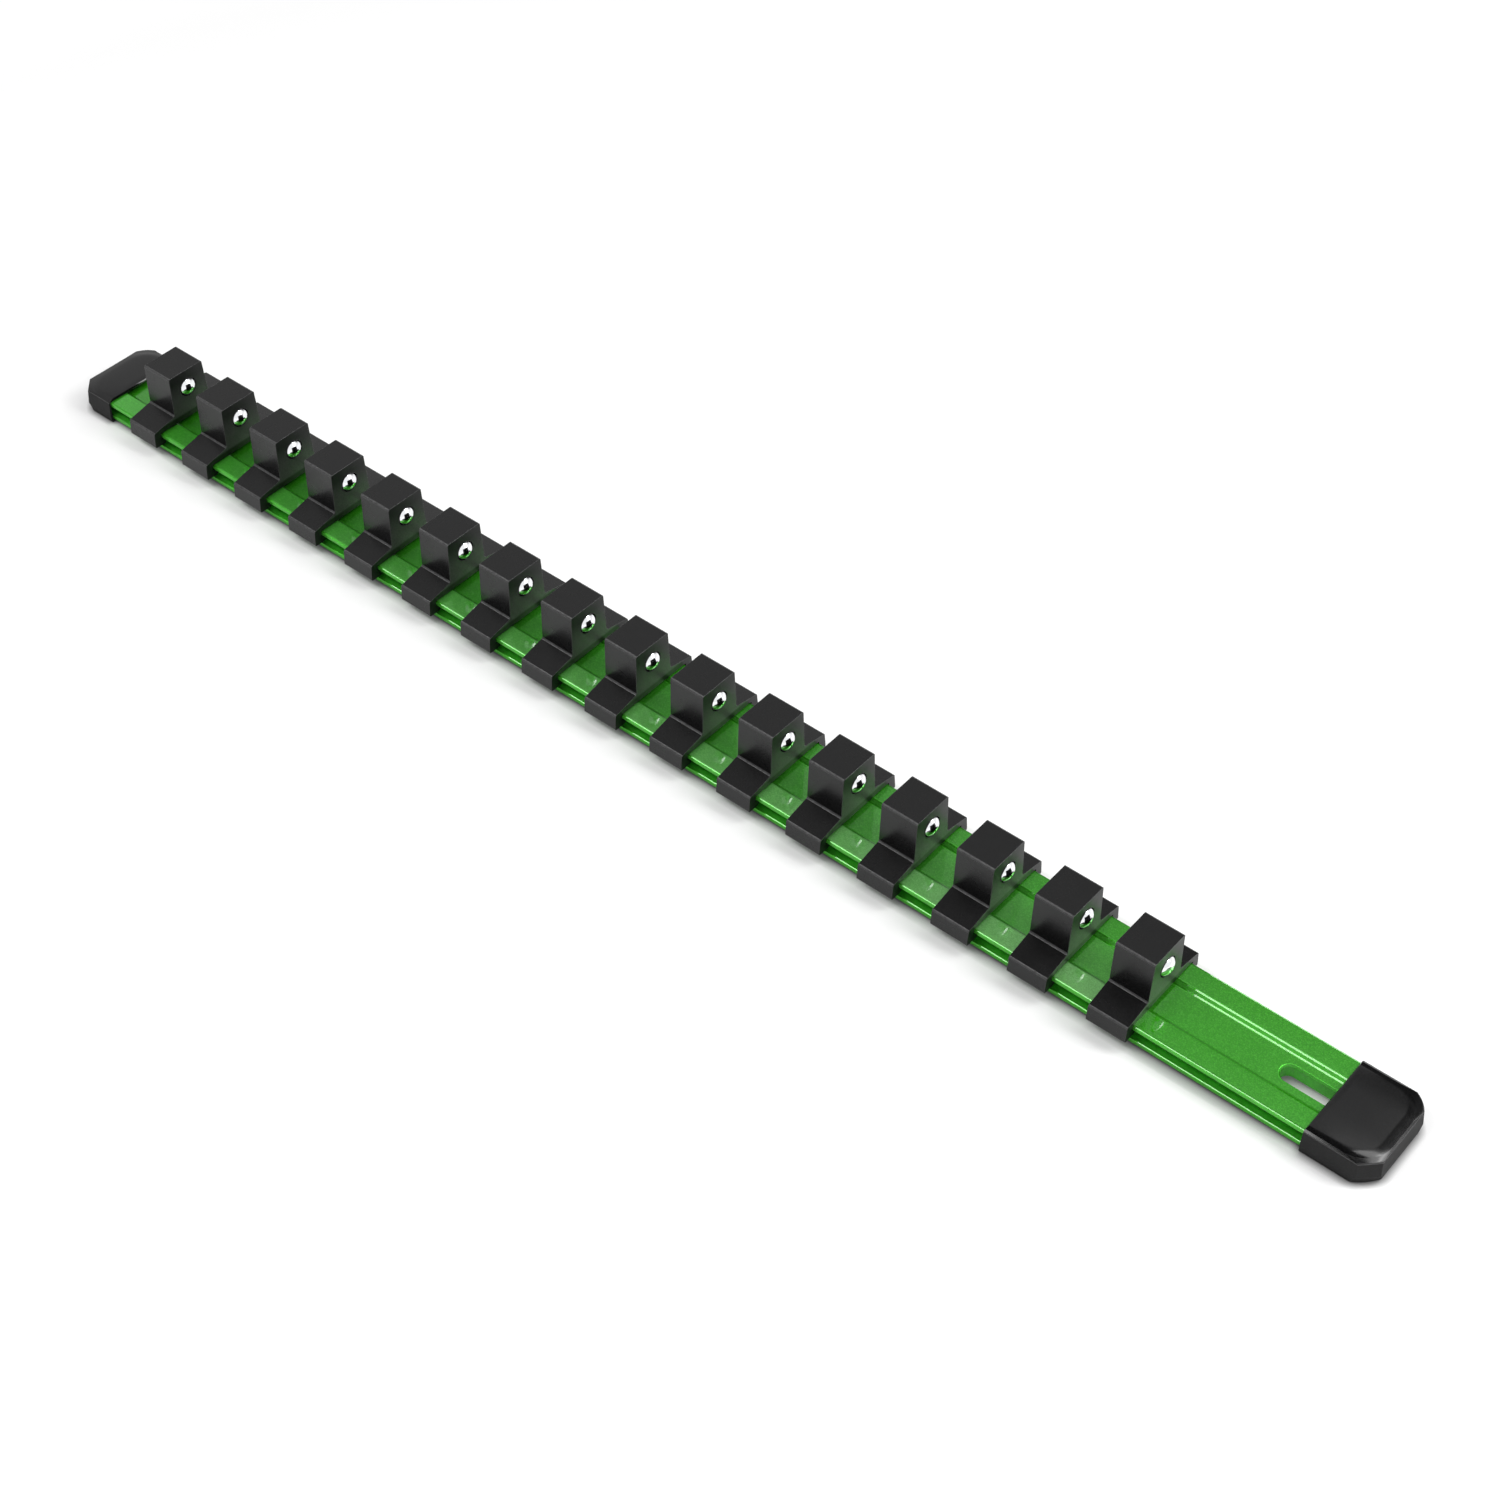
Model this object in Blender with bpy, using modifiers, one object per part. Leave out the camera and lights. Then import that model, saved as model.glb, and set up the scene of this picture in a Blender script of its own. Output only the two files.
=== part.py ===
"""A socket rail: an anodised aluminium extrusion that carries sixteen sliding clips.

Each clip has a square post with a spring-loaded ball that holds a socket by its drive hole. Two moulded caps
close the rail's ends. X runs along the rail, Y across it and Z up. The origin is under the rail's middle, on
the surface that the end caps stand on.
"""
from math import cos, pi, radians, sin, sqrt

import bmesh
import bpy
from mathutils import Euler, Matrix, Vector

# Clearances shared by pieces that meet
PRESS_GAP = 0.00025
SLIDE_GAP = 0.0003
CUT_OVERRUN = 0.001

# The rail's section and length
RAIL_LENGTH = 0.4367
RAIL_WIDTH = 0.025
RAIL_HEIGHT = 0.00595
LIP_THICKNESS = 0.0014
FOOT_THICKNESS = 0.0016
GROOVE_DEPTH = 0.0023
RECESS_WIDTH = 0.0123
RECESS_DEPTH = 0.00105
RELIEF_WIDTH = 0.0165
RELIEF_DEPTH = 0.0009
RAIL_CORNER = 0.0004

# The hanging slot, set from the rail's right end
SLOT_LENGTH = 0.02
SLOT_WIDTH = 0.0049
SLOT_INSET = 0.00675
SLOT_CHAMFER = 0.0005

# The end caps
CAP_WALL = 0.0008
CAP_ROOF = 0.0009
CAP_FLOOR = 0.0007
CAP_SHOULDER = 0.0052
CAP_END_WALL = 0.0016
CAP_POCKET_WIDTH = 0.0162
CAP_LEFT_LENGTH = 0.0143
CAP_RIGHT_LENGTH = 0.0186
CAP_CORNER_CUT = 0.0041
CAP_DRAFT = 0.0005
CAP_CROWN_RADIUS = 0.0064
CAP_CROWN_INSET = 0.0008
CAP_CROWN_RISE = 0.0006
CAP_LIP_ROUND = 0.00025
CAP_FOOT_CHAMFER = 0.0008
CAP_FOOT_ROUND_SHARE = 0.3

# The clips
CLIP_COUNT = 16
CLIP_FIRST_INSET = 0.02665
CLIP_LAST_INSET = 0.06505
CLIP_LENGTH = 0.0111
CLIP_WALL = 0.00225
CLIP_FLARE = 0.0005
POST_WIDTH = 0.0125
POST_ROOT_WIDTH = 0.0136
POST_RISE = 0.01616
FOLD_RISE = 0.0032
WING_RISE = 0.00146
WING_DROP = 0.0022
HOOK_REACH = 0.0016
HOOK_LEAD_IN = 0.0006
CLIP_EDGE = 0.0003

# The detent ball, its bore and its spring
BALL_DIAMETER = 0.00635
BALL_PROTRUSION = 0.0014
BALL_DROP = 0.00593
BALL_GAP = 0.00027
BORE_END_WALL = 0.0012
SPRING_WIRE = 0.0006
SPRING_DIAMETER = 0.0046
SPRING_CURLS = 3

# Fineness of the round surfaces
BORE_SIDES = 14
BALL_SIDES = 14
BALL_RINGS = 7
SLOT_END_STEPS = 6
CAP_CORNER_STEPS = 6
CURL_STEPS = 8
MERGE_DISTANCE = 0.00001

# Heights above the standing surface
RAIL_BASE_Z = CAP_FLOOR + PRESS_GAP
RAIL_TOP = RAIL_HEIGHT
LIP_UNDERSIDE = RAIL_HEIGHT - LIP_THICKNESS

# A section drawn in X and Y stands across the rail: its X becomes Y, its Y becomes Z
SECTION_TURN = Euler((radians(90), 0, radians(90))).to_matrix().to_4x4()


def clear_scene():
    for item in list(bpy.data.objects):
        bpy.data.objects.remove(item, do_unlink=True)


def make_collection(name):
    collection = bpy.data.collections.new(name)
    bpy.context.scene.collection.children.link(collection)
    return collection


def make_material(name, colour, roughness, metallic):
    material = bpy.data.materials.new(name)
    material.use_nodes = True
    shader = material.node_tree.nodes["Principled BSDF"]
    shader.inputs["Base Color"].default_value = (*colour, 1)
    shader.inputs["Roughness"].default_value = roughness
    shader.inputs["Metallic"].default_value = metallic
    material.diffuse_color = (*colour, 1)
    return material


def place(name, data, collection, material, location=(0, 0, 0), parent=None):
    item = bpy.data.objects.new(name, data)
    collection.objects.link(item)
    item.location = location
    item.parent = parent
    if not data.materials:
        data.materials.append(material)
    return item


def read_mesh(item):
    """The item's mesh with its modifiers applied, in its own axes."""
    graph = bpy.context.evaluated_depsgraph_get()
    return bpy.data.meshes.new_from_object(item.evaluated_get(graph))


def prism_mesh(name, points, length):
    """A flat outline in X and Y, drawn out along Z about its own middle."""
    curve = bpy.data.curves.new(name, "CURVE")
    curve.dimensions = "2D"
    curve.fill_mode = "BOTH"
    curve.extrude = length / 2
    spline = curve.splines.new("POLY")
    spline.points.add(len(points) - 1)
    for point, (x, y) in zip(spline.points, points):
        point.co = (x, y, 0, 1)
    spline.use_cyclic_u = True
    holder = bpy.data.objects.new(name, curve)
    bpy.context.scene.collection.objects.link(holder)
    mesh = read_mesh(holder)
    bpy.data.objects.remove(holder, do_unlink=True)
    bpy.data.curves.remove(curve)
    body = bmesh.new()
    body.from_mesh(mesh)
    bmesh.ops.remove_doubles(body, verts=body.verts, dist=MERGE_DISTANCE)
    ends = {face for face in body.faces if abs(face.calc_center_median().z) > length / 2 - MERGE_DISTANCE}
    seams = [edge for edge in body.edges if all(face in ends for face in edge.link_faces)]
    bmesh.ops.dissolve_edges(body, edges=seams, use_verts=False)
    bmesh.ops.recalc_face_normals(body, faces=body.faces)
    body.to_mesh(mesh)
    body.free()
    return mesh


def mirrored(half):
    """A closed outline from its right-hand half, listed from top to bottom."""
    return half + [(-x, y) for x, y in reversed(half)]


def cut_mesh(name, mesh, cutters):
    """The mesh with each cutter taken out of it by an exact Boolean."""
    holder = bpy.data.objects.new(name, mesh)
    bpy.context.scene.collection.objects.link(holder)
    for cutter in cutters:
        cut = holder.modifiers.new("cut", "BOOLEAN")
        cut.operation = "DIFFERENCE"
        cut.solver = "EXACT"
        cut.object = cutter
    bpy.context.view_layer.update()
    result = read_mesh(holder)
    bpy.data.objects.remove(holder, do_unlink=True)
    result.name = name
    return result


def add_cutter(name, mesh, collection, location=(0, 0, 0), turn=(0, 0, 0)):
    cutter = bpy.data.objects.new(name, mesh)
    collection.objects.link(cutter)
    cutter.location = location
    cutter.rotation_euler = turn
    cutter.hide_render = True
    cutter.display_type = "WIRE"
    return cutter


def box_mesh(name, low, high):
    low, high = Vector(low), Vector(high)
    size = high - low
    body = bmesh.new()
    scale = Matrix.Diagonal((*size, 1))
    bmesh.ops.create_cube(body, size=1, matrix=Matrix.Translation((low + high) / 2) @ scale)
    mesh = bpy.data.meshes.new(name)
    body.to_mesh(mesh)
    body.free()
    return mesh


def smooth_round(mesh, sharp_degrees=35):
    mesh.shade_smooth()
    mesh.set_sharp_from_angle(angle=radians(sharp_degrees))


# Rail

def rail_outline():
    half = RAIL_WIDTH / 2
    groove = half - GROOVE_DEPTH
    step_top = RECESS_WIDTH / 2
    step_foot = step_top - RECESS_DEPTH
    relief_foot = RELIEF_WIDTH / 2
    relief_top = relief_foot - RELIEF_DEPTH
    return mirrored([
        (step_foot, RAIL_TOP - RECESS_DEPTH),
        (step_top, RAIL_TOP),
        (half - RAIL_CORNER, RAIL_TOP),
        (half, RAIL_TOP - RAIL_CORNER),
        (half, LIP_UNDERSIDE),
        (groove, LIP_UNDERSIDE),
        (groove, FOOT_THICKNESS),
        (half - RAIL_CORNER, FOOT_THICKNESS),
        (half, FOOT_THICKNESS - RAIL_CORNER),
        (half, 0),
        (relief_foot, 0),
        (relief_top, RELIEF_DEPTH),
    ])


def slot_outline():
    """The slot's plan: two straight sides and two half-round ends."""
    radius = SLOT_WIDTH / 2
    reach = SLOT_LENGTH / 2 - radius
    points = []
    for centre, start in ((reach, pi / 2), (-reach, -pi / 2)):
        for step in range(SLOT_END_STEPS + 1):
            angle = start - pi * step / SLOT_END_STEPS
            points.append((centre + radius * cos(angle), radius * sin(angle)))
    return points


def chamfer_slot(mesh, slot_x):
    """A chamfer round the slot's rim on the recess floor."""
    floor = RAIL_TOP - RECESS_DEPTH
    body = bmesh.new()
    body.from_mesh(mesh)
    bmesh.ops.dissolve_limit(body, angle_limit=radians(1), verts=body.verts, edges=body.edges)
    rim = []
    for edge in body.edges:
        ends = [vert.co for vert in edge.verts]
        on_floor = all(abs(end.z - floor) < MERGE_DISTANCE for end in ends)
        in_slot = all(abs(end.y) < SLOT_WIDTH / 2 + MERGE_DISTANCE for end in ends)
        near = all(abs(end.x - slot_x) < SLOT_LENGTH / 2 + MERGE_DISTANCE for end in ends)
        if on_floor and in_slot and near:
            rim.append(edge)
    bmesh.ops.bevel(body, geom=rim, offset=SLOT_CHAMFER, segments=1, affect="EDGES")
    body.to_mesh(mesh)
    body.free()


def make_rail(parts, cutters, material):
    mesh = prism_mesh("rail_section", rail_outline(), RAIL_LENGTH)
    mesh.transform(SECTION_TURN)
    slot_x = RAIL_LENGTH / 2 - SLOT_INSET - SLOT_LENGTH / 2
    plug = prism_mesh("slot_plan", slot_outline(), RAIL_HEIGHT + CUT_OVERRUN * 2)
    cutter = add_cutter("slot_cutter", plug, cutters, (slot_x, 0, RAIL_HEIGHT / 2))
    mesh = cut_mesh("rail", mesh, [cutter])
    chamfer_slot(mesh, slot_x)
    return place("rail", mesh, parts, material, (0, 0, RAIL_BASE_Z))


# End caps

def cap_ring(length, inset, mouth_inset, radius, arc_share, height):
    """One level of a cap: open at the mouth on the left, with two corners at the outer end.

    A corner is a straight cut where arc_share is 0 and an arc where it is 1.
    """
    half = RAIL_WIDTH / 2 + PRESS_GAP + CAP_WALL - inset
    end = length - inset
    front = [(mouth_inset, -half)]
    for step in range(CAP_CORNER_STEPS + 1):
        share = step / CAP_CORNER_STEPS
        turn = -pi / 2 + share * pi / 2
        arc = Vector((end - radius + radius * cos(turn), -half + radius + radius * sin(turn)))
        cut = Vector((end - radius + radius * share, -half + radius * share))
        point = cut.lerp(arc, arc_share)
        front.append((point.x, point.y))
    rear = [(x, -y) for x, y in reversed(front)]
    return [(x, y, height) for x, y in front + rear]


def cap_mesh(length):
    """A cap with its mouth at X 0 and its closed end at X length, lofted from level to level.

    The lower levels have cut corners and the crown has round ones, so the band between them widens at the
    corners.
    """
    crown_height = RAIL_BASE_Z + RAIL_HEIGHT + PRESS_GAP + CAP_ROOF
    edge_height = crown_height - CAP_CROWN_RISE
    crown_inset = CAP_DRAFT + CAP_CROWN_INSET
    levels = [
        (CAP_FOOT_CHAMFER, 0, CAP_CORNER_CUT, CAP_FOOT_ROUND_SHARE, 0),
        (0, 0, CAP_CORNER_CUT, 0, CAP_FOOT_CHAMFER),
        (CAP_DRAFT, 0, CAP_CORNER_CUT, 0, edge_height),
        (crown_inset, 0, CAP_CROWN_RADIUS, 1, crown_height - CAP_LIP_ROUND),
        (crown_inset + CAP_LIP_ROUND, CAP_LIP_ROUND, CAP_CROWN_RADIUS, 1, crown_height),
    ]
    body = bmesh.new()
    rings = []
    for level in levels:
        rings.append([body.verts.new(point) for point in cap_ring(length, *level)])
    for lower, upper in zip(rings, rings[1:]):
        for index in range(len(lower)):
            after = (index + 1) % len(lower)
            body.faces.new((lower[index], lower[after], upper[after], upper[index]))
    body.faces.new(list(reversed(rings[0])))
    body.faces.new(rings[-1])
    bmesh.ops.recalc_face_normals(body, faces=body.faces)
    mesh = bpy.data.meshes.new("cap_block")
    body.to_mesh(mesh)
    body.free()
    return mesh


def cap_socket_mesh(length):
    """The hollow that takes the rail's end, from beyond the mouth to the cap's shoulders."""
    half = RAIL_WIDTH / 2 + PRESS_GAP
    top = RAIL_BASE_Z + RAIL_HEIGHT + PRESS_GAP
    reach = length - CAP_SHOULDER + CUT_OVERRUN
    outline = mirrored([
        (half - RAIL_CORNER, top),
        (half, top - RAIL_CORNER),
        (half, CAP_FLOOR),
    ])
    mesh = prism_mesh("cap_socket", outline, reach)
    mesh.transform(Matrix.Translation((reach / 2 - CUT_OVERRUN, 0, 0)) @ SECTION_TURN)
    return mesh


def make_cap(name, length, side, parts, cutters, material, rail):
    """side is 1 at the rail's right end and -1 at its left end."""
    socket = add_cutter(name + "_socket_cutter", cap_socket_mesh(length), cutters)
    half = CAP_POCKET_WIDTH / 2
    low = (length - CAP_SHOULDER - CUT_OVERRUN, -half, CAP_FLOOR)
    high = (length - CAP_END_WALL, half, RAIL_BASE_Z + RAIL_HEIGHT)
    pocket = add_cutter(name + "_pocket_cutter", box_mesh(name + "_pocket", low, high), cutters)
    mesh = cut_mesh(name, cap_mesh(length), [socket, pocket])
    if side < 0:
        mesh.transform(Matrix.Rotation(pi, 4, "Z"))
    smooth_round(mesh, 20)
    mouth = RAIL_LENGTH / 2 + PRESS_GAP + CAP_SHOULDER - length
    return place(name, mesh, parts, material, (side * mouth, 0, -RAIL_BASE_Z), rail)


# Clips

def clip_outline():
    rail_half = RAIL_WIDTH / 2
    wall = rail_half + SLIDE_GAP
    hook_tip = wall - HOOK_REACH
    span = wall + CLIP_WALL
    underside = RAIL_TOP + SLIDE_GAP
    wing_bottom = LIP_UNDERSIDE - WING_DROP
    hook_top = LIP_UNDERSIDE - SLIDE_GAP
    return mirrored([
        (POST_WIDTH / 2, RAIL_TOP + POST_RISE),
        (POST_ROOT_WIDTH / 2, RAIL_TOP + FOLD_RISE),
        (span, RAIL_TOP + WING_RISE),
        (span + CLIP_FLARE, wing_bottom),
        (hook_tip + HOOK_LEAD_IN, wing_bottom),
        (hook_tip, wing_bottom + HOOK_LEAD_IN),
        (hook_tip, hook_top),
        (wall, hook_top),
        (wall, underside),
    ])


def bevel_clip_edges(mesh):
    """Small bevels on the edges of the post and of the wings' outer faces."""
    outer = clip_outline()[:4]
    outside = outer + [(-x, y) for x, y in outer]
    body = bmesh.new()
    body.from_mesh(mesh)

    def is_outside(vert):
        near = [abs(vert.co.y - x) + abs(vert.co.z - y) < MERGE_DISTANCE for x, y in outside]
        return any(near)

    edges = [edge for edge in body.edges if all(is_outside(vert) for vert in edge.verts)]
    bmesh.ops.bevel(body, geom=edges, offset=CLIP_EDGE, segments=1, affect="EDGES")
    body.to_mesh(mesh)
    body.free()


def ball_x():
    """The ball's centre, from the middle of its clip."""
    return CLIP_LENGTH / 2 + BALL_PROTRUSION - BALL_DIAMETER / 2


def bore_bottom_x():
    return -CLIP_LENGTH / 2 + BORE_END_WALL


def bore_cutter_mesh(collection):
    """The ball's bore: straight, then drawn in round the ball to the lip that keeps it.

    It is turned about its own Z, which is laid along X when the cutter is placed.
    """
    face = CLIP_LENGTH / 2
    centre = ball_x()
    reach = BALL_DIAMETER / 2 + BALL_GAP
    lip_steps = 3
    profile = [(0, face + CUT_OVERRUN)]
    mouth_radius = sqrt(reach ** 2 - (face - centre) ** 2)
    profile.append((mouth_radius, face + CUT_OVERRUN))
    for step in range(lip_steps + 1):
        along = face + (centre - face) * step / lip_steps
        profile.append((sqrt(reach ** 2 - (along - centre) ** 2), along))
    profile.append((reach, bore_bottom_x()))
    profile.append((0, bore_bottom_x()))
    body = bmesh.new()
    verts = [body.verts.new((radius, 0, along)) for radius, along in profile]
    for first, second in zip(verts, verts[1:]):
        body.edges.new((first, second))
    mesh = bpy.data.meshes.new("bore_profile")
    body.to_mesh(mesh)
    body.free()
    cutter = add_cutter("bore_cutter", mesh, collection)
    screw = cutter.modifiers.new("turn", "SCREW")
    screw.steps = BORE_SIDES
    screw.render_steps = BORE_SIDES
    screw.use_merge_vertices = True
    screw.merge_threshold = MERGE_DISTANCE
    cutter.rotation_euler = (0, radians(90), 0)
    cutter.location = (0, 0, RAIL_TOP + POST_RISE - BALL_DROP)
    return cutter


def clip_mesh(cutters):
    mesh = prism_mesh("clip_section", clip_outline(), CLIP_LENGTH)
    mesh.transform(SECTION_TURN)
    bevel_clip_edges(mesh)
    return cut_mesh("clip", mesh, [bore_cutter_mesh(cutters)])


def ball_mesh():
    """A ball whose poles lie along X, so that it shows a round face out of its bore."""
    body = bmesh.new()
    turn = Matrix.Rotation(radians(90), 4, "Y")
    bmesh.ops.create_uvsphere(body, u_segments=BALL_SIDES, v_segments=BALL_RINGS, radius=BALL_DIAMETER / 2,
                              matrix=turn)
    mesh = bpy.data.meshes.new("ball")
    body.to_mesh(mesh)
    body.free()
    mesh.shade_smooth()
    return mesh


def spring_points():
    """The spring's centre line, from the bore's floor to where its last curl meets the ball."""
    wire = SPRING_WIRE / 2
    radius = (SPRING_DIAMETER - SPRING_WIRE) / 2
    start = bore_bottom_x() + SLIDE_GAP + wire
    touch = BALL_DIAMETER / 2 + BALL_GAP + wire
    end = ball_x() - sqrt(touch ** 2 - radius ** 2)
    steps = SPRING_CURLS * CURL_STEPS
    points = []
    for step in range(steps + 1):
        share = step / steps
        angle = 2 * pi * SPRING_CURLS * share
        along = start + (end - start) * share
        points.append(Vector((along, radius * cos(angle), radius * sin(angle))))
    return points


def print_spring_gap(points):
    """The least clear gap between one curl and the next, at rest."""
    least = min(
        (points[one] - points[two]).length
        for one in range(len(points))
        for two in range(one + CURL_STEPS // 2, len(points))
    )
    print("least gap between a spring's curls, mm:", round((least - SPRING_WIRE) * 1000, 3))


def spring_curve():
    curve = bpy.data.curves.new("spring", "CURVE")
    curve.dimensions = "3D"
    curve.bevel_depth = SPRING_WIRE / 2
    curve.bevel_resolution = 1
    curve.use_fill_caps = True
    points = spring_points()
    print_spring_gap(points)
    spline = curve.splines.new("POLY")
    spline.points.add(len(points) - 1)
    for target, point in zip(spline.points, points):
        target.co = (*point, 1)
    return curve


def make_clips(parts, cutters, materials, rail):
    """Sixteen clips in a row, each with its ball and spring."""
    black, steel, wire = materials
    shared_clip = clip_mesh(cutters)
    smooth_round(shared_clip)
    shared_ball = ball_mesh()
    shared_spring = spring_curve()
    ball_height = RAIL_TOP + POST_RISE - BALL_DROP
    row_start = -RAIL_LENGTH / 2 + CLIP_FIRST_INSET
    row_end = RAIL_LENGTH / 2 - CLIP_LAST_INSET
    pitch = (row_end - row_start) / (CLIP_COUNT - 1)
    for index in range(CLIP_COUNT):
        number = f"{index + 1:02d}"
        x = row_start + index * pitch
        clip = place("clip_" + number, shared_clip, parts, black, (x, 0, 0), rail)
        place("ball_" + number, shared_ball, parts, steel, (ball_x(), 0, ball_height), clip)
        place("spring_" + number, shared_spring, parts, wire, (0, 0, ball_height), clip)


def main():
    clear_scene()
    parts = make_collection("socket_rail")
    cutters = make_collection("cutters")
    green = make_material("green_anodised", (0.035, 0.24, 0.02), 0.28, 0.6)
    black = make_material("black_moulding", (0.018, 0.018, 0.019), 0.42, 0)
    steel = make_material("polished_steel", (0.75, 0.75, 0.77), 0.08, 1)
    wire = make_material("spring_steel", (0.45, 0.45, 0.47), 0.3, 1)
    rail = make_rail(parts, cutters, green)
    make_cap("end_cap_left", CAP_LEFT_LENGTH, -1, parts, cutters, black, rail)
    make_cap("end_cap_right", CAP_RIGHT_LENGTH, 1, parts, cutters, black, rail)
    make_clips(parts, cutters, (black, steel, wire), rail)
    bpy.context.view_layer.update()


main()
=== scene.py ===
from math import cos, pi, radians, sin, sqrt

import bmesh
import bpy
from mathutils import Matrix, Vector


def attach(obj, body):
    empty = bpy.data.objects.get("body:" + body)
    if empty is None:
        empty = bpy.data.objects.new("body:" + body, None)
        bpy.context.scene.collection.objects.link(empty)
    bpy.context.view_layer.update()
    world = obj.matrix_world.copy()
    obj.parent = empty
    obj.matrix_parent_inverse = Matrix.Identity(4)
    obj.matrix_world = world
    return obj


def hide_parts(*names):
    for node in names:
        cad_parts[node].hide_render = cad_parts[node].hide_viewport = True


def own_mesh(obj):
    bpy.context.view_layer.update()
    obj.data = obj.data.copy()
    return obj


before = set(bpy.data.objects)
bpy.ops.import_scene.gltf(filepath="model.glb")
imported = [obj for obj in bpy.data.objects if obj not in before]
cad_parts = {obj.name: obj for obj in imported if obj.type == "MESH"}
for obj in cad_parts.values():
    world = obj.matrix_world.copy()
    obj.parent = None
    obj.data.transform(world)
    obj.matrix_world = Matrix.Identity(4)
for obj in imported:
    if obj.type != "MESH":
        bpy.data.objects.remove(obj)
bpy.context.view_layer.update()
mm = 0.001
near = 2e-6  # how close counts as the same place, in metres
narrow = 0.24 * mm  # a face narrower than this is part of a rounded edge


# Working by hand: starting a piece, picking parts of it, finishing it

def leaveEditing():
    if bpy.context.object and bpy.context.object.mode != "OBJECT":
        bpy.ops.object.mode_set(mode="OBJECT")
    bpy.ops.object.select_all(action="DESELECT")


def workOn(piece):
    leaveEditing()
    piece.select_set(True)
    bpy.context.view_layer.objects.active = piece


def editing(piece):
    workOn(piece)
    bpy.ops.object.mode_set(mode="EDIT")
    bpy.ops.mesh.select_mode(type="VERT")


def pickVerts(piece, test):
    bpy.ops.mesh.select_mode(type="VERT")
    bpy.ops.mesh.select_all(action="DESELECT")
    shape = bmesh.from_edit_mesh(piece.data)
    for vert in shape.verts:
        if test(vert):
            vert.select_set(True)
    shape.select_flush(True)
    bmesh.update_edit_mesh(piece.data)


def pickEdges(piece, test):
    bpy.ops.mesh.select_mode(type="EDGE")
    bpy.ops.mesh.select_all(action="DESELECT")
    shape = bmesh.from_edit_mesh(piece.data)
    count = 0
    for edge in shape.edges:
        if test(edge):
            edge.select_set(True)
            count += 1
    bmesh.update_edit_mesh(piece.data)
    return count


# A new piece that is one point, ready to be drawn out
def startPiece(name, at):
    leaveEditing()
    bpy.ops.mesh.primitive_plane_add(size=1 * mm, location=at)
    piece = bpy.context.object
    piece.name = name
    piece.data.name = name
    bpy.ops.object.transform_apply(location=True, rotation=True, scale=True)
    editing(piece)
    bpy.ops.mesh.merge(type="CENTER")
    return piece


# Extrudes the picked point from place to place
def drawOn(points):
    for here, there in zip(points, points[1:]):
        step = Vector(there) - Vector(here)
        bpy.ops.mesh.extrude_region_move(TRANSFORM_OT_translate={"value": step})


# A flat face across the rail at x, from corners of (y, z) in millimetres
def drawSection(name, corners, x):
    points = [(x * mm, y * mm, z * mm) for y, z in corners]
    piece = startPiece(name, points[0])
    drawOn(points)
    bpy.ops.mesh.select_all(action="SELECT")
    bpy.ops.mesh.edge_face_add()
    return piece


# Rounds the corners of a flat section, each named by its (y, z)
def roundCorners(piece, corners, size, segments):
    places = [(y * mm, z * mm) for y, z in corners]

    def isCorner(vert):
        return any(abs(vert.co.y - y) < near and abs(vert.co.z - z) < near for y, z in places)

    pickVerts(piece, isCorner)
    bpy.ops.mesh.bevel(offset=size * mm, segments=segments, affect="VERTICES")


def pullAlong(x):
    bpy.ops.mesh.select_all(action="SELECT")
    bpy.ops.mesh.extrude_region_move(TRANSFORM_OT_translate={"value": (x * mm, 0, 0)})
    bpy.ops.mesh.select_all(action="SELECT")
    bpy.ops.mesh.normals_make_consistent(inside=False)


def bothSides(half):
    return half + [(-y, z) for y, z in reversed(half)]


def cutAway(piece, cutter):
    workOn(piece)
    cut = piece.modifiers.new("cut", "BOOLEAN")
    cut.operation = "DIFFERENCE"
    cut.solver = "EXACT"
    cut.object = cutter
    bpy.ops.object.modifier_apply(modifier=cut.name)
    bpy.data.objects.remove(cutter)


# Gives each face its share of painted edge highlight, partly also wear, from its centre in millimetres and
# whether it rounds an edge
def markLightAndWear(piece, lightAndWearAt):
    mark = piece.data.attributes.new("lightAndWear", "FLOAT", "FACE")
    corners = piece.data.vertices
    for face in piece.data.polygons:
        spots = [corners[index].co for index in face.vertices]
        longest = max((a - b).length for a, b in zip(spots, spots[1:] + spots[:1]))
        mark.data[face.index].value = lightAndWearAt(face.center / mm, face.area / longest < narrow)


# Smooth rounds beside flat faces that stay flat
def smoothOff(piece, lightAndWearAt, angle=32, crispAt=None):
    workOn(piece)
    markLightAndWear(piece, lightAndWearAt)
    bpy.ops.object.shade_smooth_by_angle(angle=radians(angle))
    if crispAt:
        editing(piece)
        pickEdges(piece, crispAt)
        bpy.ops.mesh.mark_sharp()
        workOn(piece)
    even = piece.modifiers.new("even", "WEIGHTED_NORMAL")
    even.keep_sharp = True
    even.weight = 90
    bpy.ops.object.modifier_apply(modifier=even.name)


# A copy with its own mesh, moved along the rail, its place kept in the mesh
def copyAlong(piece, name, x):
    workOn(piece)
    bpy.ops.object.duplicate()
    copy = bpy.context.object
    copy.name = name
    copy.data.name = name
    bpy.ops.transform.translate(value=(x * mm, 0, 0))
    bpy.ops.object.transform_apply(location=True, rotation=True, scale=True)
    return copy


def fit(piece, material, body, node):
    piece.data.materials.clear()
    piece.data.materials.append(material)
    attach(piece, body)
    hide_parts(node)


# Shader building blocks

# Joins a socket to an input, or sets the input to a plain value
def feed(tree, value, target):
    if isinstance(value, bpy.types.NodeSocket):
        tree.links.new(value, target)
    elif target.type == "RGBA":
        target.default_value = (*value, 1)
    else:
        target.default_value = value


# A node with its settings, and its inputs by name
def addNode(tree, kind, **values):
    node = tree.nodes.new(kind)
    for key, value in values.items():
        if hasattr(node, key):
            setattr(node, key, value)
        else:
            feed(tree, value, node.inputs[key])
    return node


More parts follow.
